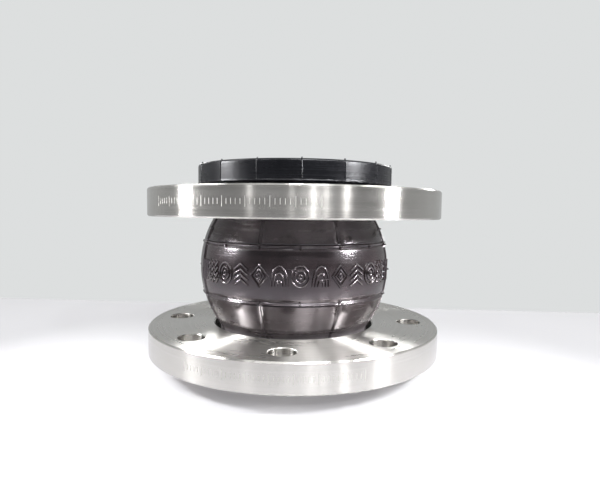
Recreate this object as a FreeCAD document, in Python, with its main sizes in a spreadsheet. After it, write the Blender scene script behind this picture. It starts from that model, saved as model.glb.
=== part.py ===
import FreeCAD, Part
import math
import os
import Sketcher
from FreeCAD import Placement, Rotation, Vector

# Flanged single-sphere rubber expansion joint for a 100 mm pipe.
# The origin is the centre of the lower sealing face and +Z runs up the bore.
# Both ends are alike: whatever is drawn for the lower end is turned over for the upper one.

SIZES = {
    # the bellows, end to end
    "nominal_bore": 100,
    "length_between_faces": 150,
    "neck_straight": 11.1,
    "neck_blend_radius": 5,
    "seam_spacing": 38,
    "seam_rib_radius": 0.7,
    # the wall, from the outside in
    "cover_thickness": 1.7,
    "ply_thickness": 0.55,
    "middle_thickness": 0.8,
    "liner_thickness": 1.5,
    "layer_gap": 0.1,
    # the sealing collar at each end and the bead inside it
    "collar_face": 3.0,
    "collar_back": 4.0,
    "collar_side": 4.0,
    "collar_edge_round": 1.5,
    "collar_taper_width": 5.0,
    "collar_taper_height": 4.0,
    "bead_wire": 2.2,
    "bead_rows": 3,
    "bead_columns": 4,
    "bead_wrap": 0.6,
    "filler_width": 6.2,
    "filler_bevel": 1.2,
    # the loose steel flange on each neck
    "flange_thickness": 20,
    "flange_recess": 6.8,
    "flange_bevel": 1.0,
    "bore_bevel": 1.0,
    "recess_clearance": 1.0,
    "seat_gap": 0.3,
    "neck_clearance": 4.5,
    "rest_gap": 0.3,
    "bolt_count": 8,
    "bolt_hole": 18,
    "hole_bevel": 0.5,
    "land_inside_holes": 6,
    "land_outside_holes": 11,
}

# Wall layers from the outside in: each lies one gap inside the layer before it.
LAYERS = {
    "outer_cover": "cover_thickness",
    "ply_4": "ply_thickness",
    "ply_3": "ply_thickness",
    "middle_rubber": "middle_thickness",
    "ply_2": "ply_thickness",
    "ply_1": "ply_thickness",
    "inner_liner": "liner_thickness",
}


def fill_sheet(doc, name, cells):
    sheet = doc.addObject("Spreadsheet::Sheet", name)
    for row, (alias, content) in enumerate(cells.items(), start=1):
        sheet.set(f"A{row}", alias)
        sheet.set(f"B{row}", str(content))
        sheet.setAlias(f"B{row}", alias)
    doc.recompute()
    return sheet


def worked_sizes():
    cells = {}

    # depth of each layer's two faces below the outside of the bellows
    above = None
    for layer, thickness in LAYERS.items():
        start = f"{above}_inner + Sizes.layer_gap" if above else "0"
        cells[f"{layer}_outer"] = f"={start}"
        cells[f"{layer}_inner"] = f"={layer}_outer + Sizes.{thickness}"
        above = layer

    # heights inside the lower collar: two plies under the bead, two over it
    cells["ply_1_foot"] = "=Sizes.collar_face + Sizes.layer_gap"
    cells["ply_2_foot"] = "=ply_1_foot + Sizes.ply_thickness + Sizes.layer_gap"
    cells["bead_foot"] = "=ply_2_foot + Sizes.ply_thickness + Sizes.layer_gap"
    cells["wire_pitch"] = "=Sizes.bead_wire + Sizes.layer_gap"
    cells["wire_foot"] = "=bead_foot + Sizes.bead_wrap + Sizes.layer_gap"
    cells["bead_top"] = "=wire_foot + Sizes.bead_rows * wire_pitch + Sizes.bead_wrap"
    cells["ply_3_foot"] = "=bead_top + Sizes.layer_gap"
    cells["ply_4_foot"] = "=ply_3_foot + Sizes.ply_thickness + Sizes.layer_gap"
    cells["collar_ceiling"] = "=ply_4_foot + Sizes.ply_thickness + Sizes.layer_gap"
    cells["collar_thickness"] = "=collar_ceiling + Sizes.collar_back"

    # radii, outwards from the bore
    cells["bore_radius"] = "=Sizes.nominal_bore / 2"
    cells["neck_radius"] = "=bore_radius + inner_liner_inner"
    cells["filler_radius"] = "=neck_radius - middle_rubber_outer + Sizes.layer_gap"
    cells["wrap_radius"] = "=filler_radius + Sizes.filler_width + Sizes.layer_gap"
    cells["wire_radius"] = "=wrap_radius + Sizes.bead_wrap + Sizes.layer_gap"
    cells["cavity_radius"] = "=wire_radius + Sizes.bead_columns * wire_pitch"
    cells["collar_radius"] = "=cavity_radius + Sizes.collar_side"
    cells["recess_radius"] = "=collar_radius + Sizes.recess_clearance"
    cells["hole_radius"] = "=Sizes.bolt_hole / 2"
    cells["bolt_radius"] = "=recess_radius + Sizes.land_inside_holes + hole_radius"
    cells["flange_radius"] = "=bolt_radius + hole_radius + Sizes.land_outside_holes"
    cells["flange_bore_radius"] = "=neck_radius + Sizes.neck_clearance"

    # the ball is the sphere about the middle of the bore that both neck blends meet
    cells["ball_centre"] = "=Sizes.length_between_faces / 2"
    cells["blend_drop"] = "=ball_centre - collar_thickness - Sizes.neck_straight"
    cells["blend_centre"] = "=neck_radius + Sizes.neck_blend_radius"
    cells["blend_reach"] = "=sqrt(blend_drop ^ 2 + blend_centre ^ 2)"
    cells["ball_radius"] = "=blend_reach - Sizes.neck_blend_radius"

    # where the flanges lie: the lower one seated, the upper one down on the ball
    cells["flange_stand"] = "=collar_thickness + Sizes.seat_gap - Sizes.flange_recess"
    cells["shoulder"] = "=sqrt(ball_radius ^ 2 - flange_bore_radius ^ 2) - Sizes.bore_bevel"
    cells["dropped_foot"] = "=ball_centre + shoulder + Sizes.rest_gap"
    cells["dropped_top"] = "=dropped_foot + Sizes.flange_thickness"
    return cells


doc = FreeCAD.newDocument("rubber_expansion_joint")
sizes = fill_sheet(doc, "Sizes", SIZES)
worked = fill_sheet(doc, "Worked", worked_sizes())


def value(expression):
    return float(worked.evalExpression(expression))


def corner(across, up):
    # a straight edge runs to this point
    return {"across": across, "up": up, "radius": None}


def bend(across, up, radius, centre, left):
    # an arc of this radius and centre runs to this point, turning left or right
    return {"across": across, "up": up, "radius": radius, "centre": centre, "left": left}


def draw_segment(sketch, start, end, step):
    # returns the segment's index and which of its ends comes first along the outline
    if step["radius"] is None:
        return sketch.addGeometry(Part.LineSegment(start, end), False), 1, 2
    centre = Vector(*[value(part) for part in step["centre"]], 0)
    circle = Part.Circle(centre, Vector(0, 0, 1), value(step["radius"]))
    angles = [math.atan2(point.y - centre.y, point.x - centre.x) for point in (start, end)]
    if step["left"]:
        return sketch.addGeometry(Part.ArcOfCircle(circle, *angles), False), 1, 2
    return sketch.addGeometry(Part.ArcOfCircle(circle, *reversed(angles)), False), 2, 1


def draw_outline(sketch, outline):
    points = [Vector(value(step["across"]), value(step["up"]), 0) for step in outline]
    segments = []
    for number, step in enumerate(outline):
        segments.append(draw_segment(sketch, points[number - 1], points[number], step))

    for number, (segment, first, last) in enumerate(segments):
        step = outline[number]
        following, following_first, _ = segments[(number + 1) % len(segments)]
        rules = [
            Sketcher.Constraint("Coincident", segment, last, following, following_first),
            Sketcher.Constraint("DistanceX", segment, last, points[number].x),
            Sketcher.Constraint("DistanceY", segment, last, points[number].y),
        ]
        bound = {1: step["across"], 2: step["up"]}
        if step["radius"] is not None:
            rules.append(Sketcher.Constraint("Radius", segment, value(step["radius"])))
            bound[3] = step["radius"]
        indexes = sketch.addConstraint(rules)
        for rule, expression in bound.items():
            sketch.setExpression(f"Constraints[{indexes[rule]}]", expression)


def sketch_on(body, role, name):
    plane = next(item for item in body.Origin.OriginFeatures if item.Role == role)
    sketch = body.newObject("Sketcher::SketchObject", name)
    sketch.AttachmentSupport = [(plane, "")]
    sketch.MapMode = "FlatFace"
    doc.recompute()
    return sketch


def turned_body(label, outline):
    # a ring: its half section, drawn in the XZ plane, turned about Z
    body = doc.addObject("PartDesign::Body", label)
    body.Label = label
    sketch = sketch_on(body, "XZ_Plane", f"{label}_section")
    draw_outline(sketch, outline)
    ring = body.newObject("PartDesign::Revolution", f"{label}_ring")
    ring.Profile = sketch
    ring.ReferenceAxis = (sketch, ["V_Axis"])
    ring.Angle = 360
    sketch.Visibility = False
    doc.recompute()
    return body


def turn_over(part, height):
    # turned over end for end, with its own base at the given height
    part.Placement = Placement(Vector(0, 0, value(height)), Rotation(Vector(1, 0, 0), 180))
    part.setExpression(".Placement.Base.z", height)


def upper_twin(part):
    turn_over(part, "Sizes.length_between_faces")
    return part


# ---- wall layers, each one piece from collar to collar ----

def from_top(height):
    return f"Sizes.length_between_faces - ({height})"


def wall_side(depth):
    # one face of a layer, upwards: neck, blend, ball, blend, neck
    neck = f"Worked.neck_radius - {depth}"
    blend = f"Sizes.neck_blend_radius + {depth}"
    ball = f"Worked.ball_radius - {depth}"
    share = f"({ball}) / Worked.blend_reach"
    tangent = f"Worked.blend_centre * {share}"
    height = f"Worked.blend_drop * {share}"
    low = "Worked.ball_centre - Worked.blend_drop"
    high = "Worked.ball_centre + Worked.blend_drop"
    middle = ("0", "Worked.ball_centre")
    return [
        corner(neck, low),
        bend(tangent, f"Worked.ball_centre - {height}", blend, ("Worked.blend_centre", low), False),
        bend(tangent, f"Worked.ball_centre + {height}", ball, middle, True),
        bend(neck, high, blend, ("Worked.blend_centre", high), False),
    ]


def downwards(side):
    # the same face followed the other way, so every arc turns the other way too
    turned = []
    for number, step in enumerate(reversed(side)):
        after = side[len(side) - number] if number else None
        if after is None or after["radius"] is None:
            turned.append(corner(step["across"], step["up"]))
        else:
            turned.append(bend(step["across"], step["up"], after["radius"], after["centre"],
                               not after["left"]))
    return turned


def seam_ribs(side):
    # the ball's arc broken by the two raised mould seams
    lower_neck, lower_blend, ball, upper_blend = side
    outline = [lower_neck, lower_blend]
    tilt = "asin(Sizes.seam_spacing / 2 / Worked.ball_radius)"
    spread = "(2 * asin(Sizes.seam_rib_radius / 2 / Worked.ball_radius))"
    for sign in ("-", "+"):
        centre = (f"Worked.ball_radius * cos({tilt})",
                  f"Worked.ball_centre {sign} Sizes.seam_spacing / 2")
        foot = f"({sign}{tilt} - {spread})"
        head = f"({sign}{tilt} + {spread})"
        outline.append(bend(f"Worked.ball_radius * cos{foot}",
                            f"Worked.ball_centre + Worked.ball_radius * sin{foot}",
                            ball["radius"], ball["centre"], True))
        outline.append(bend(f"Worked.ball_radius * cos{head}",
                            f"Worked.ball_centre + Worked.ball_radius * sin{head}",
                            "Sizes.seam_rib_radius", centre, True))
    return outline + [ball, upper_blend]


def plain_layer(name, foot):
    # a layer that simply ends at this height above the sealing face
    outside = wall_side(f"Worked.{name}_outer")
    inside = wall_side(f"Worked.{name}_inner")
    if name == "outer_cover":
        outside = seam_ribs(outside)
    outer = f"Worked.neck_radius - Worked.{name}_outer"
    inner = f"Worked.neck_radius - Worked.{name}_inner"
    outline = [corner(inner, foot), corner(outer, foot)]
    outline += outside
    outline += [corner(outer, from_top(foot)), corner(inner, from_top(foot))]
    outline += downwards(inside)
    return turned_body(name, outline)


def flared_ply(name):
    # a ply that turns outwards inside each collar, beside the bead
    foot = f"Worked.{name}_foot"
    head = f"Worked.{name}_foot + Sizes.ply_thickness"
    edge = "Worked.cavity_radius - Sizes.layer_gap"
    outer = f"Worked.neck_radius - Worked.{name}_outer"
    inner = f"Worked.neck_radius - Worked.{name}_inner"
    outline = [corner(inner, foot), corner(edge, foot), corner(edge, head), corner(outer, head)]
    outline += wall_side(f"Worked.{name}_outer")
    outline += [corner(outer, from_top(head)), corner(edge, from_top(head))]
    outline += [corner(edge, from_top(foot)), corner(inner, from_top(foot))]
    outline += downwards(wall_side(f"Worked.{name}_inner"))
    return turned_body(name, outline)


# ---- collar and bead, drawn for the lower end ----

def sealing_collar(name):
    # a C in section: sealing face, rim and back, open to the wall layers at the neck
    bore = "Worked.bore_radius"
    rim = "Worked.collar_radius"
    rounding = "Sizes.collar_edge_round"
    round_start = f"{rim} - {rounding}"
    shoulder = "Worked.collar_thickness - Sizes.collar_taper_height"
    neck = "Worked.neck_radius + Sizes.layer_gap"
    outline = [
        corner(bore, "0"),
        corner(round_start, "0"),
        bend(rim, rounding, rounding, (round_start, rounding), True),
        corner(rim, shoulder),
        corner(f"{rim} - Sizes.collar_taper_width", "Worked.collar_thickness"),
        corner(neck, "Worked.collar_thickness"),
        corner(neck, "Worked.collar_ceiling"),
        corner("Worked.cavity_radius", "Worked.collar_ceiling"),
        corner("Worked.cavity_radius", "Sizes.collar_face"),
        corner(bore, "Sizes.collar_face"),
    ]
    return turned_body(name, outline)


def bead_core(name):
    # closed steel wires lying side by side, row on row
    wires = []
    for row in range(int(SIZES["bead_rows"])):
        for column in range(int(SIZES["bead_columns"])):
            wire = doc.addObject("Part::Torus", f"{name}_wire")
            wire.setExpression("Radius1", "Worked.wire_radius + Sizes.bead_wire / 2"
                               f" + {column} * Worked.wire_pitch")
            wire.setExpression("Radius2", "Sizes.bead_wire / 2")
            wire.setExpression(".Placement.Base.z", "Worked.wire_foot + Sizes.bead_wire / 2"
                               f" + {row} * Worked.wire_pitch")
            wires.append(wire)
    core = doc.addObject("Part::Compound", name)
    core.Label = name
    core.Links = wires
    return core


def bead_wrap(name):
    # a fabric strip folded round the wires, open towards the rim
    inner = "Worked.wrap_radius"
    edge = "Worked.cavity_radius - Sizes.layer_gap"
    fold = f"{inner} + Sizes.bead_wrap"
    under = "Worked.bead_foot + Sizes.bead_wrap"
    over = "Worked.bead_top - Sizes.bead_wrap"
    outline = [
        corner(inner, "Worked.bead_foot"),
        corner(edge, "Worked.bead_foot"),
        corner(edge, under),
        corner(fold, under),
        corner(fold, over),
        corner(edge, over),
        corner(edge, "Worked.bead_top"),
        corner(inner, "Worked.bead_top"),
    ]
    return turned_body(name, outline)


def bead_filler(name):
    # hard rubber that fills the corner between the wall and the wires
    inner = "Worked.filler_radius"
    outer = f"{inner} + Sizes.filler_width"
    low = "Worked.bead_foot"
    high = "Worked.bead_top"
    outline = [
        corner(inner, low),
        corner(outer, low),
        corner(outer, high),
        corner(f"{inner} + Sizes.filler_bevel", high),
        corner(inner, f"{high} - Sizes.filler_bevel"),
    ]
    return turned_body(name, outline)


# ---- flange, drawn with its recessed outer face down at z = 0 ----

def loose_flange(name):
    rim = "Worked.flange_radius"
    bore = "Worked.flange_bore_radius"
    top = "Sizes.flange_thickness"
    recess = "Worked.recess_radius"
    taper_start = "Sizes.flange_recess - Sizes.collar_taper_height"
    outline = [
        corner(recess, "0"),
        corner(f"{rim} - Sizes.flange_bevel", "0"),
        corner(rim, "Sizes.flange_bevel"),
        corner(rim, f"{top} - Sizes.flange_bevel"),
        corner(f"{rim} - Sizes.flange_bevel", top),
        corner(f"{bore} + Sizes.bore_bevel", top),
        corner(bore, f"{top} - Sizes.bore_bevel"),
        corner(bore, "Sizes.flange_recess"),
        corner(f"{recess} - Sizes.collar_taper_width", "Sizes.flange_recess"),
        corner(recess, taper_start),
    ]
    body = turned_body(name, outline)

    sketch = sketch_on(body, "XY_Plane", f"{name}_hole_outline")
    hole = sketch.addGeometry(
        Part.Circle(Vector(0, -value("Worked.bolt_radius"), 0), Vector(0, 0, 1),
                    value("Worked.hole_radius")), False)
    centre = 3
    origin_point = (-1, 1)
    vertical_axis = -2
    sketch.addConstraint(Sketcher.Constraint("PointOnObject", hole, centre, vertical_axis))
    reach = sketch.addConstraint(Sketcher.Constraint(
        "DistanceY", hole, centre, *origin_point, value("Worked.bolt_radius")))
    across = sketch.addConstraint(Sketcher.Constraint(
        "Radius", hole, value("Worked.hole_radius")))
    sketch.setExpression(f"Constraints[{reach}]", "Worked.bolt_radius")
    sketch.setExpression(f"Constraints[{across}]", "Worked.hole_radius")

    solid_volume = body.Shape.Volume
    pocket = body.newObject("PartDesign::Pocket", f"{name}_hole")
    pocket.Profile = sketch
    pocket.Type = "ThroughAll"
    pocket.SideType = "Symmetric"
    sketch.Visibility = False
    doc.recompute()
    assert body.Shape.Volume < solid_volume, "the bolt hole cut nothing"

    holes = body.newObject("PartDesign::PolarPattern", f"{name}_holes")
    holes.Originals = [pocket]
    holes.Axis = (sketch, ["N_Axis"])
    holes.Angle = 360
    holes.setExpression("Occurrences", "Sizes.bolt_count")
    body.Tip = holes
    doc.recompute()

    bevelled = body.newObject("PartDesign::Chamfer", f"{name}_hole_bevels")
    bevelled.Base = (holes, hole_edges(holes.Shape))
    bevelled.setExpression("Size", "Sizes.hole_bevel")
    doc.recompute()
    return body


def hole_edges(shape):
    # names of the round edges where the bolt holes meet the flange's faces
    radius = value("Worked.hole_radius")
    names = []
    for number, edge in enumerate(shape.Edges, start=1):
        if isinstance(edge.Curve, Part.Circle) and math.isclose(edge.Curve.Radius, radius):
            names.append(f"Edge{number}")
    return names


# ---- assembly ----

nodes = [
    plain_layer("inner_liner", "Worked.ply_1_foot"),
    flared_ply("ply_1"),
    flared_ply("ply_2"),
    plain_layer("middle_rubber", "Worked.bead_foot"),
    flared_ply("ply_3"),
    flared_ply("ply_4"),
    plain_layer("outer_cover", "Worked.collar_ceiling"),
]

for maker, name in ((sealing_collar, "collar"), (bead_core, "bead_core"),
                    (bead_wrap, "bead_wrap"), (bead_filler, "bead_filler")):
    nodes.append(maker(f"lower_{name}"))
    nodes.append(upper_twin(maker(f"upper_{name}")))

lower_flange = loose_flange("lower_flange")
lower_flange.setExpression(".Placement.Base.z", "Worked.flange_stand")
upper_flange = loose_flange("upper_flange")
turn_over(upper_flange, "Worked.dropped_top")
nodes += [lower_flange, upper_flange]

doc.recompute()

# ---- checks and export ----

for item in doc.Objects:
    for trouble in ("Invalid", "Error"):
        assert trouble not in item.State, f"{item.Label} is {trouble}"

for node in nodes:
    assert not node.Shape.isNull(), f"{node.Label} is empty"
    assert node.Shape.isValid(), f"{node.Label} is not valid"

os.makedirs("parts", exist_ok=True)
for node in nodes:
    node.Shape.exportStep(f"parts/{node.Label}.step")
    print(node.Label, len(node.Shape.Solids), "solid(s)", round(node.Shape.Volume / 1000, 2), "cm3")

for alias in ("neck_radius", "collar_radius", "collar_thickness", "ball_radius", "bolt_radius",
              "flange_radius", "flange_stand", "dropped_foot", "dropped_top"):
    print(alias, round(value(f"Worked.{alias}"), 3))
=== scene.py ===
import math

import bpy
from mathutils import Matrix, Vector, noise


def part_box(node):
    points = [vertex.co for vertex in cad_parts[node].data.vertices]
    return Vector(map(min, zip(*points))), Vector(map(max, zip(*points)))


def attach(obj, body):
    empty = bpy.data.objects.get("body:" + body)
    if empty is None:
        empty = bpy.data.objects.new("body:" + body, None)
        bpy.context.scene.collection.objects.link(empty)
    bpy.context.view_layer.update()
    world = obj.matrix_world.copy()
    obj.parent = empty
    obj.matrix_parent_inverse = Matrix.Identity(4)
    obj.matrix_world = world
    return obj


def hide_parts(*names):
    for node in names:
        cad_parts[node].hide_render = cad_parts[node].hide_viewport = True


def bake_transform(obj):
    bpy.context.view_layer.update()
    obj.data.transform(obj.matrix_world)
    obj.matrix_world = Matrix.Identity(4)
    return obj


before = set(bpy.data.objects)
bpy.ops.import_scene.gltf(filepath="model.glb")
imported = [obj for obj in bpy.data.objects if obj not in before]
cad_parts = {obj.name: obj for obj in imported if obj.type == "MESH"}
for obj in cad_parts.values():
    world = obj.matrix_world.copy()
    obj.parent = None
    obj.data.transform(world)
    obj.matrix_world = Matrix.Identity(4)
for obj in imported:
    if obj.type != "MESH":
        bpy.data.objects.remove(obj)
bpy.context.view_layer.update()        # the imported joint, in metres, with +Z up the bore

scene = bpy.context.scene
scene.view_settings.view_transform = "Standard"
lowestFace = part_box("lower_collar")[0].z
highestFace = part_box("upper_collar")[1].z
ballMiddle = (lowestFace + highestFace) / 2


def turnTo(radius, angle, height):    # angle 0 is the front, -Y, and it grows towards +X
    return Vector((radius * math.sin(angle), -radius * math.cos(angle), height))


def ridge(distance, halfWidth):    # 1 on the crest, falling smoothly to 0 at the foot
    share = 1 - (distance / halfWidth) ** 2
    return share * share if share > 0 else 0.0


def ragged(x, y, low, high):    # torn rubber flash is never the same height twice
    return low + (high - low) * (0.5 + 0.5 * noise.noise(Vector((x, y, 3.7))))


def apart(first, second):    # the angle between two directions round the bore
    return abs((first - second + math.pi) % (2 * math.pi) - math.pi)


def makePiece(name, points, faces, material, sharpAbove=40):
    mesh = bpy.data.meshes.new(name)
    mesh.from_pydata(points, [], faces)
    mesh.materials.append(material)
    mesh.shade_smooth()
    mesh.set_sharp_from_angle(angle=math.radians(sharpAbove))
    piece = bpy.data.objects.new(name, mesh)
    scene.collection.objects.link(piece)
    return piece


def turnOutline(outline, angles, shape):
    # a closed outline turned about the bore; shape gives each point's place at each angle
    points = [turnTo(*shape(angle, point)) for angle in angles for point in outline]
    faces, rows = [], len(outline)
    for column in range(len(angles)):
        here, there = column * rows, (column + 1) % len(angles) * rows
        for row in range(rows):
            after = (row + 1) % rows
            faces.append((here + row, there + row, there + after, here + after))
    return points, faces


def stepsRound(count, lines, radius, closeSteps):
    # even steps round the bore, with closer ones across each raised line
    margin = 0.0004              # no even step this near to the close ones
    close = [line + step / radius for line in lines for step in closeSteps]
    reach = (max(closeSteps) + margin) / radius
    even = [2 * math.pi * step / count for step in range(count)]
    even = [angle for angle in even if all(apart(angle, line) > reach for line in lines)]
    return sorted(angle % (2 * math.pi) for angle in close + even)


def addShell(points, faces, shellPoints, shellFaces):
    first = len(points)
    points.extend(shellPoints)
    faces.extend(tuple(first + corner for corner in face) for face in shellFaces)


def addNub(points, faces, foot, outward, radius, tall):
    # a vent nub: a short tapered stalk with a rounded tip, sunk a little at its foot
    sides, sunk = 10, 0.0004
    side = outward.orthogonal().normalized()
    other = outward.cross(side)
    levels = [(1.15, -sunk), (1.0, 0.0), (0.86, tall * 0.7), (0.55, tall * 0.95)]
    ring = []
    for width, level in levels:
        for turn in range(sides):
            angle = 2 * math.pi * turn / sides
            across = side * math.cos(angle) + other * math.sin(angle)
            ring.append(foot + outward * level + across * radius * width)
    ring.append(foot + outward * tall)
    nubFaces = [tuple(reversed(range(sides)))]
    for level in range(len(levels) - 1):
        for turn in range(sides):
            after = (turn + 1) % sides
            low, high = level * sides, (level + 1) * sides
            nubFaces.append((low + turn, low + after, high + after, high + turn))
    top = (len(levels) - 1) * sides
    nubFaces += [(top + turn, top + (turn + 1) % sides, len(ring) - 1) for turn in range(sides)]
    addShell(points, faces, ring, nubFaces)


def newFinish(name, **settings):
    finish = bpy.data.materials.new(name)
    finish.use_nodes = True
    shader = finish.node_tree.nodes["Principled BSDF"]
    for socket, value in settings.items():
        shader.inputs[socket.replace("_", " ")].default_value = value
    return finish, finish.node_tree, shader


def addNode(tree, kind, inputs=None, **settings):
    made = tree.nodes.new(kind)
    for name, value in settings.items():
        setattr(made, name, value)
    for socket, value in (inputs or {}).items():
        if isinstance(value, bpy.types.NodeSocket):
            tree.links.new(value, made.inputs[socket])
        else:
            made.inputs[socket].default_value = value
    return made


def addNoise(tree, place, scale, detail=3.0, roughness=0.5):
    return addNode(tree, "ShaderNodeTexNoise", {"Vector": place, "Scale": scale, "Detail": detail,
                                                "Roughness": roughness}).outputs["Fac"]


def addRange(tree, value, fromLow, fromHigh, toLow, toHigh):
    return addNode(tree, "ShaderNodeMapRange", {0: value, 1: fromLow, 2: fromHigh,
                                                3: toLow, 4: toHigh}).outputs[0]


def addRamp(tree, value, stops):
    ramp = addNode(tree, "ShaderNodeValToRGB", {"Fac": value})
    ramp.color_ramp.elements[0].position, ramp.color_ramp.elements[0].color = stops[0]
    ramp.color_ramp.elements[1].position, ramp.color_ramp.elements[1].color = stops[-1]
    for position, colour in stops[1:-1]:
        ramp.color_ramp.elements.new(position).color = colour
    return ramp.outputs["Color"]


def addMath(tree, operation, first, second=0.0):
    return addNode(tree, "ShaderNodeMath", {0: first, 1: second},
                   operation=operation).outputs[0]


def stretched(tree, place, scale):
    return addNode(tree, "ShaderNodeMapping", {"Vector": place, "Scale": scale}).outputs[0]


def addBumps(tree, shader, layers):    # each layer is (height, strength, distance)
    normal = None
    for height, strength, distance in layers:
        inputs = {"Height": height, "Strength": strength, "Distance": distance}
        if normal:
            inputs["Normal"] = normal
        normal = addNode(tree, "ShaderNodeBump", inputs).outputs[0]
    tree.links.new(normal, shader.inputs["Normal"])


steelLook = {
    "dark": (0.50, 0.485, 0.46, 1),
    "middle": (0.58, 0.565, 0.54, 1),
    "light": (0.66, 0.645, 0.62, 1),
    "grooves": 1700.0,           # how fine the tool marks are
    "bands": 260.0,
    "rimRough": 0.16,
    "faceRough": 0.25,           # the faces are turned a little coarser than the rim
    "unevenRough": 0.04,
}


def turnedSteel():
    # lathe-turned stainless: fine grooves round the bore, so lights smear across them
    finish, tree, shader = newFinish("turnedSteel", Metallic=1.0, Anisotropic=1.0,
                                     Anisotropic_Rotation=0.25)
    texture = addNode(tree, "ShaderNodeTexCoord")
    place = texture.outputs["Object"]
    tangent = addNode(tree, "ShaderNodeTangent", direction_type="RADIAL", axis="Z")
    tree.links.new(tangent.outputs[0], shader.inputs["Tangent"])

    axes = addNode(tree, "ShaderNodeSeparateXYZ", {0: place}).outputs
    across = addMath(tree, "SQRT", addMath(tree, "ADD", addMath(tree, "MULTIPLY", axes[0], axes[0]),
                                           addMath(tree, "MULTIPLY", axes[1], axes[1])))
    rings = addNode(tree, "ShaderNodeCombineXYZ", {0: across, 2: axes[2]}).outputs[0]
    grooves = addNoise(tree, rings, steelLook["grooves"], 2.0, 0.6)
    bands = addNoise(tree, rings, steelLook["bands"], 2.0, 0.5)
    smears = addNoise(tree, place, 28.0, 4.0, 0.6)
    specks = addNoise(tree, place, 900.0, 2.0, 0.6)

    tone = addMath(tree, "ADD", addMath(tree, "MULTIPLY", grooves, 0.55),
                   addMath(tree, "MULTIPLY", smears, 0.45))
    colour = addRamp(tree, tone, [(0.3, steelLook["dark"]), (0.5, steelLook["middle"]),
                                  (0.7, steelLook["light"])])
    tree.links.new(colour, shader.inputs["Base Color"])
    facing = addNode(tree, "ShaderNodeSeparateXYZ", {0: texture.outputs["Normal"]}).outputs[2]
    coarse = addRange(tree, addMath(tree, "ABSOLUTE", facing), 0.1, 0.9,
                      steelLook["rimRough"], steelLook["faceRough"])
    uneven = steelLook["unevenRough"]
    banded = addMath(tree, "ADD", coarse, addRange(tree, bands, 0.3, 0.7, 0.0, uneven))
    dull = addMath(tree, "ADD", banded, addRange(tree, smears, 0.35, 0.7, 0.0, uneven))
    tree.links.new(dull, shader.inputs["Roughness"])
    addBumps(tree, shader, [(grooves, 0.012, 0.0002), (specks, 0.02, 0.0002)])
    return finish


def etchedSteel():
    # laser-etched marks: frosted, a shade lighter than the turned rim
    finish, tree, shader = newFinish("etchedSteel", Metallic=1.0)
    place = addNode(tree, "ShaderNodeTexCoord").outputs["Object"]
    grain = addNoise(tree, place, 3000.0, 2.0, 0.7)
    tree.links.new(addRamp(tree, grain, [(0.3, (0.46, 0.45, 0.43, 1)), (0.7, (0.66, 0.65, 0.62, 1))]),
                   shader.inputs["Base Color"])
    tree.links.new(addRange(tree, grain, 0.3, 0.7, 0.42, 0.6), shader.inputs["Roughness"])
    addBumps(tree, shader, [(grain, 0.3, 0.0001)])
    return finish


# bloom is the pale dust that rubber sweats out; the foot sheen is painted light: the foot of the ball
# painted paler, standing in for the light the lower flange throws back onto it
rubberLooks = {
    "coverRubber": {"dark": (0.0045, 0.0028, 0.0030, 1), "light": (0.013, 0.008, 0.0085, 1),
                    "rough": (0.17, 0.28), "tint": (1.0, 0.93, 1.0, 1), "shine": 0.9,
                    "bloom": 0.06, "footPaintedSheen": 0.35},
    "collarRubber": {"dark": (0.0020, 0.0022, 0.0030, 1), "light": (0.0055, 0.0055, 0.0070, 1),
                     "rough": (0.24, 0.34), "tint": (0.95, 0.96, 1.0, 1), "shine": 0.22,
                     "bloom": 0.04, "footPaintedSheen": 0.0},
    "linerRubber": {"dark": (0.012, 0.012, 0.013, 1), "light": (0.026, 0.026, 0.028, 1),
                    "rough": (0.34, 0.48), "tint": (1.0, 1.0, 1.0, 1), "shine": 0.5,
                    "bloom": 0.12, "footPaintedSheen": 0.0},
    "plainRubber": {"dark": (0.02, 0.019, 0.019, 1), "light": (0.04, 0.037, 0.036, 1),
                    "rough": (0.5, 0.65), "tint": (1.0, 1.0, 1.0, 1), "shine": 0.5,
                    "bloom": 0.05, "footPaintedSheen": 0.0},
}
# the dust colour serves both the bloom and the painted sheen at the foot of the ball
rubberDustAndSheen = {
    "colour": (0.30, 0.28, 0.29, 1),
    "sheenFullBelow": 0.031,         # the painted sheen is full up to here, and none above the next height
    "sheenGoneAbove": 0.040,
    "dulls": 0.5,
}


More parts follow.
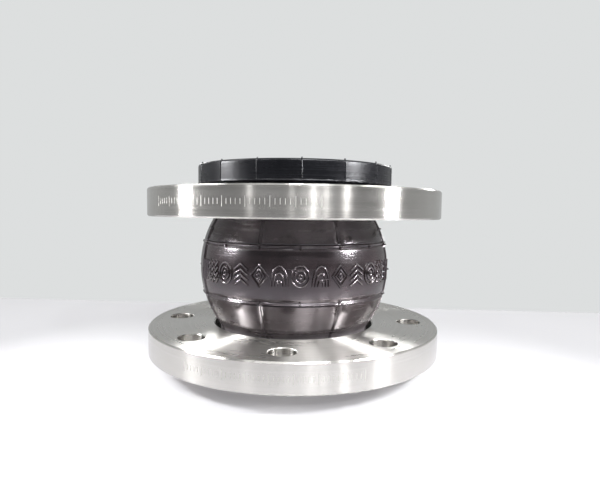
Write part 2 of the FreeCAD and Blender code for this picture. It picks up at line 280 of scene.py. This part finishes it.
def mouldedRubber(name):
    # rubber out of a turned steel mould: faint rings round the bore, mottling and a little bloom, and
    # where the look asks for it a paler foot, painted in as reflected light
    look = rubberLooks[name]
    finish, tree, shader = newFinish(name, Specular_Tint=look["tint"], Specular_IOR_Level=look["shine"])
    place = addNode(tree, "ShaderNodeTexCoord").outputs["Object"]
    streaks = addNoise(tree, stretched(tree, place, (12, 12, 900)), 1.0, 4.0, 0.65)
    cloudy = addNoise(tree, place, 36.0, 5.0, 0.6)
    grain = addNoise(tree, place, 1500.0, 3.0, 0.6)
    dust = addNoise(tree, place, 420.0, 6.0, 0.72)

    mottle = addMath(tree, "ADD", addMath(tree, "MULTIPLY", streaks, 0.4),
                     addMath(tree, "MULTIPLY", cloudy, 0.6))
    colour = addRamp(tree, mottle, [(0.36, look["dark"]), (0.64, look["light"])])
    dustAndSheen = addRange(tree, addMath(tree, "MULTIPLY", dust, cloudy), 0.34, 0.48, 0.0, look["bloom"])
    height = addNode(tree, "ShaderNodeSeparateXYZ", {0: place}).outputs[2]
    # painted light: below these heights the rubber is mixed towards the pale colour, a painted reflection
    # of the flange at the foot of the ball
    low = addRange(tree, height, rubberDustAndSheen["sheenFullBelow"], rubberDustAndSheen["sheenGoneAbove"], look["footPaintedSheen"], 0.0)
    dustAndSheen = addMath(tree, "ADD", dustAndSheen, addMath(tree, "MULTIPLY", low, cloudy))
    mixed = addNode(tree, "ShaderNodeMix", {0: dustAndSheen, 6: colour, 7: rubberDustAndSheen["colour"]},
                    data_type="RGBA").outputs[2]
    tree.links.new(mixed, shader.inputs["Base Color"])
    rough = addRange(tree, mottle, 0.36, 0.64, *look["rough"])
    rough = addMath(tree, "ADD", rough, addMath(tree, "MULTIPLY", dustAndSheen, rubberDustAndSheen["dulls"]))
    tree.links.new(rough, shader.inputs["Roughness"])
    addBumps(tree, shader, [(streaks, 0.16, 0.0003), (cloudy, 0.06, 0.0008),
                            (grain, 0.10, 0.0001)])
    return finish


def cordPly():
    # rubbered nylon cords laid on the bias
    finish, tree, shader = newFinish("cordPly", Sheen_Weight=0.25)
    place = addNode(tree, "ShaderNodeTexCoord").outputs["Object"]
    axes = addNode(tree, "ShaderNodeSeparateXYZ", {0: place}).outputs
    turn = addMath(tree, "ARCTAN2", axes[0], axes[1])
    bias = addMath(tree, "ADD", addMath(tree, "MULTIPLY", turn, 300.0),
                   addMath(tree, "MULTIPLY", axes[2], 5200.0))
    cords = addRange(tree, addMath(tree, "SINE", bias), -1.0, 1.0, 0.0, 1.0)
    tree.links.new(addRamp(tree, cords, [(0.1, (0.10, 0.08, 0.06, 1)), (0.8, (0.46, 0.39, 0.29, 1))]),
                   shader.inputs["Base Color"])
    tree.links.new(addRange(tree, cords, 0.0, 1.0, 0.85, 0.6), shader.inputs["Roughness"])
    addBumps(tree, shader, [(cords, 0.6, 0.0003)])
    return finish


def wovenStrip():
    # square-woven fabric wiped with rubber
    finish, tree, shader = newFinish("wovenStrip", Sheen_Weight=0.3)
    place = addNode(tree, "ShaderNodeTexCoord").outputs["Object"]
    weave = addNode(tree, "ShaderNodeTexChecker", {"Vector": place, "Scale": 1600.0}).outputs["Fac"]
    fuzz = addNoise(tree, place, 800.0, 3.0, 0.6)
    thread = addMath(tree, "ADD", addMath(tree, "MULTIPLY", weave, 0.5),
                     addMath(tree, "MULTIPLY", fuzz, 0.5))
    tree.links.new(addRamp(tree, thread, [(0.2, (0.09, 0.07, 0.05, 1)), (0.8, (0.33, 0.28, 0.2, 1))]),
                   shader.inputs["Base Color"])
    tree.links.new(addRange(tree, fuzz, 0.3, 0.7, 0.7, 0.9), shader.inputs["Roughness"])
    addBumps(tree, shader, [(thread, 0.5, 0.0003)])
    return finish


def bronzedWire():
    # drawn steel wire with a thin bronze coat
    finish, tree, shader = newFinish("bronzedWire", Metallic=1.0)
    place = addNode(tree, "ShaderNodeTexCoord").outputs["Object"]
    drawn = addNoise(tree, stretched(tree, place, (1, 1, 8)), 700.0, 3.0, 0.6)
    tree.links.new(addRamp(tree, drawn, [(0.3, (0.40, 0.27, 0.14, 1)), (0.7, (0.66, 0.50, 0.30, 1))]),
                   shader.inputs["Base Color"])
    tree.links.new(addRange(tree, drawn, 0.3, 0.7, 0.28, 0.45), shader.inputs["Roughness"])
    addBumps(tree, shader, [(drawn, 0.15, 0.0001)])
    return finish


steel = turnedSteel()
etched = etchedSteel()
coverRubber = mouldedRubber("coverRubber")
collarRubber = mouldedRubber("collarRubber")
linerRubber = mouldedRubber("linerRubber")
plainRubber = mouldedRubber("plainRubber")
plyFinish = cordPly()
stripFinish = wovenStrip()
wireFinish = bronzedWire()
print("finishes ready")

wallShape = {
    "neckRadius": 0.0568,        # outside of the neck
    "neckStraight": 0.0111,      # from the collar's back to where the neck opens out
    "collarThickness": 0.018,
    "blendRadius": 0.005,
    "seamHeight": 0.019,         # each mould seam from the middle of the ball
    "flexStart": 0.024,          # the neck inside the flange keeps its shape below this
}
collarInside = {
    "cavityRadius": 0.070,
    "plyEdge": 0.0699,
    "ceiling": 0.0140,
    "faceThickness": 0.003,
}
plyThick = 0.00055
# the layers from the outside in; a flared one turns outwards inside the collar
wallLayers = {
    "outer_cover": {"thick": 0.0017, "flared": False, "slot": "cover_rubber"},
    "ply_4": {"thick": plyThick, "flared": True, "slot": "ply_cord"},
    "ply_3": {"thick": plyThick, "flared": True, "slot": "ply_cord"},
    "middle_rubber": {"thick": 0.0008, "flared": False, "slot": "middle_rubber"},
    "ply_2": {"thick": plyThick, "flared": True, "slot": "ply_cord"},
    "ply_1": {"thick": plyThick, "flared": True, "slot": "ply_cord"},
    "inner_liner": {"thick": 0.0015, "flared": False, "slot": "liner_rubber"},
}
layerGap = 0.0001
layerFinish = {"cover_rubber": coverRubber, "ply_cord": plyFinish, "middle_rubber": plainRubber,
               "liner_rubber": linerRubber}
# each layer's foot above the sealing face: the outer ones pass over the bead, the inner ones under
overBead = collarInside["ceiling"]
underBead = collarInside["faceThickness"] + layerGap
plyPitch = plyThick + layerGap
layerFoot = {
    "outer_cover": overBead,
    "ply_4": overBead - plyPitch,
    "ply_3": overBead - 2 * plyPitch,
    "middle_rubber": underBead + 2 * plyPitch,
    "ply_2": underBead + plyPitch,
    "ply_1": underBead,
    "inner_liner": underBead,
}

blendDrop = ballMiddle - lowestFace - wallShape["collarThickness"] - wallShape["neckStraight"]
blendCentre = wallShape["neckRadius"] + wallShape["blendRadius"]
blendReach = math.hypot(blendDrop, blendCentre)
ballRadius = blendReach - wallShape["blendRadius"]
lowSeam = ballMiddle - wallShape["seamHeight"]
highSeam = ballMiddle + wallShape["seamHeight"]


def wallPoint(depth, height):
    # a point of the wall this far under its outside, and the way out from there
    up = height - ballMiddle
    side = 1 if up > 0 else -1
    reach = abs(up)
    if reach >= blendDrop:
        return wallShape["neckRadius"] - depth, height, 1.0, 0.0
    if reach > blendDrop * (ballRadius - depth) / blendReach:
        radius = wallShape["blendRadius"] + depth
        drop = blendDrop - reach
        inward = math.sqrt(radius ** 2 - drop ** 2)
        return blendCentre - inward, height, inward / radius, side * drop / radius
    radius = ballRadius - depth
    across = math.sqrt(radius ** 2 - up ** 2)
    return across, height, across / radius, up / radius


flash = {
    "firstMeridian": math.radians(-15),
    "meridians": 8,
    "panel": (math.radians(-58), math.radians(73)),    # no flash lines across the marked panel
    "halfWidth": 0.0006,
    "height": 0.0008,
    "seamHalfWidth": 0.0007,
    "seamHeight": 0.0009,
    "raggedSeam": (0.8, 1.15),   # shares of the height, from its lowest to its tallest
    "raggedLine": (0.7, 1.25),
    "dip": 0.0004,               # the rubber shrinks back a little beside each line
    "dipFromSeam": 0.0011,
    "dipFromLine": 0.0010,
    "dipHalfWidth": 0.0006,
}
meridianLines = [flash["firstMeridian"] + 2 * math.pi * line / flash["meridians"]
                 for line in range(flash["meridians"])]
acrossLine = [step * 0.0001 for step in (-16, -13, -10, -7, -4.7, -2.4, 0, 2.4, 4.7, 7, 10, 13, 16)]
coverSteps, plainSteps = 240, 120
coverAngles = stepsRound(coverSteps, meridianLines, ballRadius, acrossLine)
plainAngles = [2 * math.pi * step / plainSteps for step in range(plainSteps)]


def isOnPanel(angle):
    low, high = flash["panel"]
    return low < (angle + math.pi) % (2 * math.pi) - math.pi < high


def seamDistance(height):
    up = min(1.0, max(-1.0, (height - ballMiddle) / ballRadius))
    tilt = math.asin(wallShape["seamHeight"] / ballRadius)
    return ballRadius * abs(abs(math.asin(up)) - tilt)


def coverRelief(angle, height):
    # how far the flash lines stand out of the cover here, and how far the rubber dips beside them
    onSeam, farOff = 0.0001, 1.0
    seamAway = seamDistance(height)
    seam = flash["seamHeight"] * ridge(seamAway, flash["seamHalfWidth"])
    seam *= ragged(angle * 9, height * 40, *flash["raggedSeam"])
    line = min(meridianLines, key=lambda each: apart(each, angle))
    lineAway = apart(line, angle) * ballRadius
    if lowSeam + onSeam < height < highSeam - onSeam and isOnPanel(line):
        lineAway = farOff
    rib = flash["height"] * ridge(lineAway, flash["halfWidth"])
    rib *= ragged(line * 5, height * 260, *flash["raggedLine"])
    dip = max(ridge(seamAway - flash["dipFromSeam"], flash["dipHalfWidth"]),
              ridge(lineAway - flash["dipFromLine"], flash["dipHalfWidth"]))
    return max(seam, rib) - flash["dip"] * dip


bandRows = {
    "outside": 22,
    "inside": 14,
    "besideSeam": (0.00025, 0.0005, 0.0008, 0.0011, 0.0014, 0.0017),
    "clearOfSeam": 0.0019,       # the even rows stop this far from a seam
}


def heightSteps(low, high, count, seams):
    # even steps up the wall, with closer ones beside a seam at either end
    steps = [low + (high - low) * step / count for step in range(count + 1)]
    lift = math.sqrt(1 - (wallShape["seamHeight"] / ballRadius) ** 2)
    for seam in seams:
        inside = 1 if seam == low else -1
        steps = [step for step in steps if step == seam or abs(step - seam) > bandRows["clearOfSeam"]]
        steps += [seam + inside * lift * away for away in bandRows["besideSeam"]]
    return sorted(steps)


def bandOutline(layer, outerDepth, innerDepth, low, high, seams):
    # the band's closed half section: foot, outside going up, head, inside coming down
    outer = [wallPoint(outerDepth, step) for step in heightSteps(low, high, bandRows["outside"], seams)]
    inner = [wallPoint(innerDepth, step) for step in heightSteps(low, high, bandRows["inside"], [])]
    foot, head = [], []
    if layer["flared"]:
        edge, thick = collarInside["plyEdge"], layer["thick"]
        if low < lowSeam:
            foot = [(edge, low, 1, 0), (edge, low + thick, 1, 0),
                    (outer[0][0], low + thick, 1, 0)]
            outer = [point for point in outer if point[1] > low + thick]
        if high > highSeam:
            head = [(outer[-1][0], high - thick, 1, 0), (edge, high - thick, 1, 0),
                    (edge, high, 1, 0)]
            outer = [point for point in outer if point[1] < high - thick]
    showing = [(*point, 1) for point in outer]
    hidden = [(*point, 0) for point in reversed(inner)]
    return [(*point, 0) for point in foot] + showing + [(*point, 0) for point in head] + hidden


def bandShape(angle, point):
    radius, height, outward, upward, showing = point
    lift = coverRelief(angle, height) if showing else 0.0
    return radius + lift * outward, angle, height + lift * upward


def plainShape(angle, point):
    return point[0], angle, point[1]


nubs = {
    "radius": 0.00075,
    "shortest": 0.0009,
    "tallest": 0.0018,
    "count": 16,
    "aboveLowSeam": 0.0010,
    "belowHighSeam": 0.0012,
    "outerRow": 0.029,           # the rows outside the seams, from the middle of the ball
    "onFlash": 0.6,              # how much of the flash's height a nub on it gains
}


def nubHeight(number):    # torn off anyhow, so no two next to each other are alike
    return nubs["shortest"] + (nubs["tallest"] - nubs["shortest"]) * abs(math.sin(number * 12.9898))


def addWallNub(points, faces, angle, height, tall):
    across, height, outward, upward = wallPoint(0, height)
    foot = turnTo(across, angle, height)
    out = turnTo(outward, angle, upward).normalized()
    gain = coverRelief(angle, height) * nubs["onFlash"]
    addNub(points, faces, foot, out, nubs["radius"], tall + gain)


marks = {
    "count": 13,
    "first": math.radians(-57),
    "last": math.radians(72),
    "halfHeight": 0.0071,
    "halfWidth": 0.0057,
    "strokeWidth": 0.0014,
    "tall": 0.0012,
    "sunk": 0.0003,
}


def ringLine(radius, corners=20):
    return [(radius * math.cos(2 * math.pi * corner / corners),
             radius * math.sin(2 * math.pi * corner / corners)) for corner in range(corners)]


def archLine(foot, halfWidth, tall):
    return [(-halfWidth * math.cos(math.pi * step / 10), foot + tall * math.sin(math.pi * step / 10))
            for step in range(11)]


# each mark is a list of lines, in shares of its half width and half height, open or closed
def ringMark():
    return [(ringLine(0.98), True), (ringLine(0.58), True), (ringLine(0.2, 8), True)]


def diamondMark():
    outer = [(1, 0), (0, 1), (-1, 0), (0, -1)]
    return [([(across * size, up * size) for across, up in outer], True) for size in (1.0, 0.62, 0.25)]


def chevronMark():
    return [([(-0.95, low), (0, low + 0.55), (0.95, low)], False) for low in (-1.0, -0.52, -0.04, 0.44)]


def slantMark():
    return [([(left, -1), (left + 0.55, 1)], False) for left in (-1.0, -0.52, -0.04, 0.44)]


def waveMark():
    return [([(-1 + step * 0.4, low + (0.42 if step % 2 else 0)) for step in range(6)], False)
            for low in (-1.0, -0.47, 0.06, 0.59)]


def archMark():
    return [(archLine(-0.95, size, 1.9 * size), False) for size in (1.0, 0.66, 0.32)]


strokeSection = [(1, 0), (0.88, 0.7), (0.5, 1.12), (0, 1.25), (-0.5, 1.12), (-0.88, 0.7), (-1, 0)]


def onBelly(middle, across, up, lift):
    tilt = up / ballRadius
    radius = ballRadius + lift
    return turnTo(radius * math.cos(tilt), middle + across / ballRadius,
                  ballMiddle + radius * math.sin(tilt))


def addStroke(points, faces, middle, line, closed):
    # a raised half-round bead that follows the line over the belly
    count, sharpestCorner = len(line), 0.45
    stroke = []
    for number, (across, up) in enumerate(line):
        before = line[number - 1] if closed or number else line[number]
        after = line[(number + 1) % count] if closed or number < count - 1 else line[number]
        here = Vector((across, up))
        back = (here - Vector(before)).normalized()
        ahead = (Vector(after) - here).normalized()
        along = (back + ahead).normalized()
        miter = 1 / max(sharpestCorner, along.dot(ahead if ahead.length else back))
        side = Vector((along.y, -along.x)) * miter
        for share, rise in strokeSection:
            spot = here + side * marks["strokeWidth"] / 2 * share
            stroke.append(onBelly(middle, spot.x, spot.y, rise * marks["tall"] - marks["sunk"]))
    strokeFaces, rows = [], len(strokeSection)
    for number in range(count if closed else count - 1):
        here, there = number * rows, (number + 1) % count * rows
        for edge in range(rows):
            after = (edge + 1) % rows
            strokeFaces.append((here + edge, here + after, there + after, there + edge))
    if not closed:
        last = (count - 1) * rows
        strokeFaces.append(tuple(reversed(range(rows))))
        strokeFaces.append(tuple(range(last, last + rows)))
    addShell(points, faces, stroke, strokeFaces)


def addMarks(points, faces):
    # a plain frieze of shapes round the front of the belly, the same both ways from its middle
    frieze = [slantMark, waveMark, ringMark, chevronMark, diamondMark, archMark]
    half = marks["count"] // 2
    for place in range(marks["count"]):
        share = place / (marks["count"] - 1)
        middle = marks["first"] + (marks["last"] - marks["first"]) * share
        mark = ringMark if place == half else frieze[min(place, marks["count"] - 1 - place)]
        for line, closed in mark():
            sized = [(across * marks["halfWidth"], up * marks["halfHeight"]) for across, up in line]
            addStroke(points, faces, middle, sized, closed)


# the two bodies each band lies between, the heights it runs from and to, and its seams
bands = {
    "LowerBand": {"bodies": ("lower_end", "lower_wall"), "from": wallShape["flexStart"], "to": lowSeam,
                  "seams": [lowSeam]},
    "Belly": {"bodies": ("lower_wall", "upper_wall"), "from": lowSeam, "to": highSeam,
              "seams": [lowSeam, highSeam]},
    "UpperBand": {"bodies": ("upper_wall", "upper_end"), "from": highSeam,
                  "to": highestFace - wallShape["flexStart"], "seams": [highSeam]},
}


def buildLayer(nodeName, layer, outerDepth):
    innerDepth = outerDepth + layer["thick"]
    isCover = nodeName == "outer_cover"
    words = nodeName.split("_")
    stem = words[0] + "".join(word.capitalize() for word in words[1:])
    for bandName, band in bands.items():
        # the two end bands run on into the collars
        foot = layerFoot[nodeName]
        bottom = lowestFace + foot if bandName == "LowerBand" else band["from"]
        top = highestFace - foot if bandName == "UpperBand" else band["to"]
        seams = band["seams"] if isCover else []
        outline = bandOutline(layer, outerDepth, innerDepth, bottom, top, seams)
        points, faces = turnOutline(outline, coverAngles if isCover else plainAngles,
                                    bandShape if isCover else plainShape)
        if isCover:
            finishCover(bandName, points, faces)
        piece = makePiece(stem + bandName, points, faces, layerFinish[layer["slot"]])
        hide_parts(nodeName)
        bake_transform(piece)


def finishCover(bandName, points, faces):
    # vent nubs along the seams and beside the flash lines, and the marks on the belly
    spacing = 2 * math.pi / nubs["count"]
    allRound = [flash["firstMeridian"] + spacing * step for step in range(nubs["count"])]
    if bandName == "Belly":
        addMarks(points, faces)
        besideSeams = (lowSeam + nubs["aboveLowSeam"], highSeam - nubs["belowHighSeam"])
        spots = [(angle, ballMiddle) for angle in allRound if not isOnPanel(angle)]
        spots += [(angle, height) for angle in allRound for height in besideSeams]
    else:
        side = 1 if bandName == "UpperBand" else -1
        row = ballMiddle + side * nubs["outerRow"]
        spots = [(angle, row) for angle in allRound[::2] if not isOnPanel(angle)]
    for number, (angle, height) in enumerate(spots):
        addWallNub(points, faces, angle, height, nubHeight(number + len(bandName)))


depth = 0.0
for nodeName, layer in wallLayers.items():
    buildLayer(nodeName, layer, depth)
    depth += layer["thick"] + layerGap
print("wall layers built")

collar = {
    "boreRadius": 0.050,
    "radius": 0.074,
    "boreBevel": 0.0006,
    "edgeRound": 0.0015,
    "edgeSteps": 6,
    "shoulder": 0.014,           # where the straight rim ends
    "taperMiddle": (0.0712, 0.0162),
    "taperRadius": 0.069,
    "stepsRound": 256,
    "faceRings": (0.054, 0.0560, 0.0562, 0.0600, 0.0660, 0.0700),
    "rimRings": (0.003, 0.005, 0.007, 0.009, 0.011, 0.0125),
    "belowShoulder": (0.0009, 0.0005, 0.00025, 0.0),
    "backRing": 0.0635,
    "segments": 16,
    "flatness": 0.00030,         # each segment is a little flatter than the circle
    "flashHalfWidth": 0.0004,
    "flashHeight": 0.0003,
    "partingHeight": 0.0004,     # the parting line round the shoulder, broken here and there
    "partingHalfWidth": 0.0006,
    "nubRadius": 0.0005,
    "nubShare": 0.4,             # how tall its nubs are beside those on the ball
    "faceNubs": 8,
    "faceNubCircle": 0.066,
}
collarLines = [flash["firstMeridian"] + 2 * math.pi * line / collar["segments"]
               for line in range(collar["segments"])]
collarSteps = [step * 0.0001 for step in (-9, -5.5, -3.5, -1.7, 0, 1.7, 3.5, 5.5, 9)]
collarAngles = stepsRound(collar["stepsRound"], collarLines, collar["radius"], collarSteps)


def collarOutline():
    # (radius, height above the sealing face, how far it is a rim point)
    bore, rim, rounding = collar["boreRadius"], collar["radius"], collar["edgeRound"]
    bevel, shoulder, back = collar["boreBevel"], collar["shoulder"], wallShape["collarThickness"]
    neck = wallShape["neckRadius"] + layerGap
    outline = [(bore, bevel, 0), (bore + bevel, 0.0, 0)]
    outline += [(radius, 0.0, 0) for radius in collar["faceRings"]]
    for step in range(collar["edgeSteps"] + 1):
        angle = math.pi / 2 * step / collar["edgeSteps"]
        outline.append((rim - rounding + rounding * math.sin(angle),
                        rounding - rounding * math.cos(angle), math.sin(angle)))
    outline += [(rim, height, 1) for height in collar["rimRings"]]
    outline += [(rim, shoulder - away, 1) for away in collar["belowShoulder"]]
    outline += [(rim - 0.0003, shoulder + 0.00025, 0.8), (rim - 0.0013, shoulder + 0.0011, 0.4)]
    outline += [(*collar["taperMiddle"], 0.2), (collar["taperRadius"], back, 0)]
    outline += [(collar["backRing"], back, 0), (neck, back, 0)]
    ceiling, cavity, face = (collarInside[key] for key in ("ceiling", "cavityRadius", "faceThickness"))
    return outline + [(neck, ceiling, 0), (cavity, ceiling, 0), (cavity, face, 0), (bore, face, 0)]


def collarShape(angle, point):
    radius, height, rimShare = point
    line = min(collarLines, key=lambda each: apart(each, angle))
    phase = apart(line, angle) / (math.pi / collar["segments"])
    sag = collar["flatness"] * (1 - (1 - phase) ** 2) * rimShare
    rib = collar["flashHeight"] * ridge(apart(line, angle) * radius, collar["flashHalfWidth"])
    rib *= ragged(line * 8, height * 300, 0.6, 1.3) * rimShare
    parting = collar["partingHeight"] * ridge(height - collar["shoulder"] + 0.0002,
                                              collar["partingHalfWidth"])
    parting *= max(0.0, ragged(angle * 60, 1.3, -0.25, 1.5)) * rimShare
    return radius - sag + max(rib, parting), angle, height


straightUp = Vector((0, 0, 1))


def buildCollar(name, body, nodeName, isUpper):
    points, faces = turnOutline(collarOutline(), collarAngles, collarShape)
    if isUpper:    # turned over: the sealing face is on top
        points = [Vector((point.x, point.y, highestFace - (point.z - lowestFace))) for point in points]
        faces = [tuple(reversed(face)) for face in faces]
    base = highestFace if isUpper else lowestFace
    way = -1 if isUpper else 1
    share, thin = collar["nubShare"], collar["nubRadius"]
    for number, line in enumerate(collarLines):
        if isUpper:
            foot = turnTo(collar["radius"] - 0.0009, line, base - 0.0002)
            addNub(points, faces, foot, straightUp, thin * 1.1, 0.0005 + nubHeight(number) * share)
        foot = turnTo(collar["radius"] - 0.0001, line, base + way * (collar["shoulder"] - 0.0005))
        addNub(points, faces, foot, turnTo(1, line, 0), thin, nubHeight(number + 5) * share)
    if isUpper:
        for number in range(collar["faceNubs"]):
            angle = flash["firstMeridian"] + math.radians(30) + 2 * math.pi * number / collar["faceNubs"]
            foot = turnTo(collar["faceNubCircle"], angle, base - 0.0002)
            addNub(points, faces, foot, straightUp, thin, 0.0004 + nubHeight(number) * 0.5)
    piece = makePiece(name, points, faces, collarRubber)
    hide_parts(nodeName)
    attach(piece, body)


buildCollar("lowerSealingCollar", "lower_end", "lower_collar", False)
buildCollar("upperSealingCollar", "upper_end", "upper_collar", True)
print("collars built")


def dress(nodeName, finish):    # flanges and beads keep their own solids
    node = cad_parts[nodeName]
    if not node.material_slots:
        node.data.materials.append(finish)
    for slot in node.material_slots:
        slot.material = finish


for end in ("lower", "upper"):
    dress(f"{end}_flange", steel)
    dress(f"{end}_bead_core", wireFinish)
    dress(f"{end}_bead_wrap", stripFinish)
    dress(f"{end}_bead_filler", plainRubber)

rimScale = {
    "step": math.radians(1.5),
    "longEvery": 5,
    "longTick": 0.0062,
    "shortTick": 0.0034,
    "tickWidth": 0.00035,
    "proud": 0.00003,
    "sunk": 0.00006,
    "ticks": 41,
    "firstTick": {"upper_flange": math.radians(-48), "lower_flange": math.radians(-33)},
}


def buildRimScale(name, flange):    # each flange is a node and a body of the same name
    # a fine scale etched round the front of the rim
    low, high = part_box(flange)
    radius = max(high.x, -low.x)
    middle = (low.z + high.z) / 2
    points, faces = [], []
    for tick in range(rimScale["ticks"]):
        angle = rimScale["firstTick"][flange] + rimScale["step"] * tick
        tall = rimScale["longTick"] if tick % rimScale["longEvery"] == 0 else rimScale["shortTick"]
        half = rimScale["tickWidth"] / radius / 2
        box = [turnTo(radius + lift, angle + side * half, middle + up * tall / 2)
               for lift in (-rimScale["sunk"], rimScale["proud"])
               for up in (-1, 1) for side in (-1, 1)]
        addShell(points, faces, box, [(0, 2, 3, 1), (4, 5, 7, 6), (0, 1, 5, 4), (2, 6, 7, 3),
                                      (0, 4, 6, 2), (1, 3, 7, 5)])
    piece = makePiece(name, points, faces, etched)
    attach(piece, flange)


buildRimScale("upperRimScale", "upper_flange")
buildRimScale("lowerRimScale", "lower_flange")
print("flanges dressed")

floorLook = {
    "side": 1.0,
    "behind": 0.21,              # the table ends this far behind the joint
    "colour": (0.27, 0.27, 0.28, 1),
    "roughness": 0.16,
    "glowColour": (1.0, 0.97, 1.0, 1),
    "glow": 0.24,
}


def buildFloor():
    finish = newFinish("paleFloor", Roughness=floorLook["roughness"], Base_Color=floorLook["colour"],
                       Emission_Color=floorLook["glowColour"], Emission_Strength=floorLook["glow"])[0]
    side, behind = floorLook["side"], floorLook["behind"]
    corners = [(-side, -side, lowestFace), (side, -side, lowestFace),
               (side, behind, lowestFace), (-side, behind, lowestFace)]
    mesh = bpy.data.meshes.new("floor")
    mesh.from_pydata(corners, [], [(0, 1, 2, 3)])
    mesh.materials.append(finish)
    floor = bpy.data.objects.new("floor", mesh)
    scene.collection.objects.link(floor)


surroundings = {
    "front": 0.17,               # dim towards the front, brighter behind and overhead
    "behind": 0.5,
    "overhead": 0.15,
    "seen": 0.76,                # the plain backdrop itself
    "tint": (0.95, 0.97, 0.97, 1),
}


def buildSurroundings():
    # white overhead and behind, grey in front, so the turned steel has something to mirror
    world = bpy.data.worlds.new("studio")
    world.use_nodes = True
    tree = world.node_tree
    way = addNode(tree, "ShaderNodeTexCoord").outputs["Generated"]
    axes = addNode(tree, "ShaderNodeSeparateXYZ", {0: way}).outputs
    depth = addRange(tree, axes[1], -0.5, 0.5, surroundings["front"], surroundings["behind"])
    overhead = addRange(tree, axes[2], 0.1, 0.8, 0.0, surroundings["overhead"])
    glow = addMath(tree, "ADD", depth, overhead)
    isSeen = addNode(tree, "ShaderNodeLightPath").outputs["Is Camera Ray"]
    strength = addNode(tree, "ShaderNodeMix", {0: isSeen, 2: glow, 3: surroundings["seen"]}).outputs[0]
    background = tree.nodes["Background"]
    background.inputs["Color"].default_value = surroundings["tint"]
    tree.links.new(strength, background.inputs["Strength"])
    scene.world = world


joint = (0, 0, ballMiddle)
upperNeck = (0, 0, 0.10)
# where each light stands and points, its watts, and its width and height
lights = {
    "overhead": {"place": (0.0, 0.05, 1.3), "aim": joint, "power": 1.6, "size": (0.08, 0.08)},
    "frontBox": {"place": (0.30, -0.80, 0.95), "aim": joint, "power": 12, "size": (0.4, 0.4)},
    "frontFill": {"place": (-0.15, -0.75, 0.95), "aim": joint, "power": 2.5, "size": (0.5, 0.4)},
    "leftBox": {"place": (-0.75, -0.16, 0.75), "aim": joint, "power": 5.5, "size": (0.2, 0.5)},
    "rightBox": {"place": (0.75, -0.16, 0.75), "aim": joint, "power": 6, "size": (0.2, 0.5)},
    "leftLamp": {"place": (-0.30, -0.115, 0.20), "aim": (-0.10, -0.06, 0.02), "power": 0.5,
                 "size": (0.05, 0.05), "spread": 80},
    "rightLamp": {"place": (0.30, -0.125, 0.20), "aim": (0.095, -0.065, 0.02), "power": 0.55,
                  "size": (0.05, 0.05), "spread": 80},
    "leftBackLamp": {"place": (-0.22, 0.25, 0.26), "aim": upperNeck, "power": 0.2, "size": (0.05, 0.05)},
    "rightBackLamp": {"place": (0.22, 0.25, 0.26), "aim": upperNeck, "power": 0.2, "size": (0.05, 0.05)},
}
# a row of ceiling lights far in front draws the thin bright streaks on the rims
ceilingRow = {
    "distance": 2.0,
    "height": 1.3,
    "tall": 0.05,
    "wattsPerMetre": 200,
    "streaks": ((-30, 0.04), (2, 0.02), (18, 0.05), (28, 0.03), (44, 0.12)),    # degrees and width
}


def addLight(name, place, aim, power, size, spread=180):
    lamp = bpy.data.lights.new(name, "AREA")
    lamp.energy, lamp.spread = power, math.radians(spread)
    lamp.shape = "RECTANGLE"
    lamp.size, lamp.size_y = size
    holder = bpy.data.objects.new(name, lamp)
    holder.location = place
    holder.visible_camera = False
    holder.rotation_euler = (Vector(aim) - Vector(place)).to_track_quat("-Z", "Y").to_euler()
    scene.collection.objects.link(holder)


buildFloor()
buildSurroundings()
for name, settings in lights.items():
    addLight(name, **settings)
for number, (degrees, wide) in enumerate(ceilingRow["streaks"]):
    place = turnTo(ceilingRow["distance"], math.radians(degrees), ceilingRow["height"])
    addLight(f"ceilingLight{number + 1}", place, joint, ceilingRow["wattsPerMetre"] * wide,
             (wide, ceilingRow["tall"]))

view = {
    "place": (0.02745, -0.37187, 0.1167),
    "down": math.radians(4.06),
    "left": math.radians(3.54),
    "roll": math.radians(0.73),
    "lens": 28.52,
    "sensor": 36.0,
    "nearest": 0.01,
}
lens = bpy.data.cameras.new("camera")
lens.lens, lens.sensor_width = view["lens"], view["sensor"]
lens.clip_start = view["nearest"]
camera = bpy.data.objects.new("camera", lens)
turns = (Matrix.Rotation(view["left"], 4, "Z") @ Matrix.Rotation(math.pi / 2 - view["down"], 4, "X")
         @ Matrix.Rotation(view["roll"], 4, "Z"))
camera.matrix_world = Matrix.Translation(view["place"]) @ turns
scene.collection.objects.link(camera)
scene.camera = camera
print("stage set")
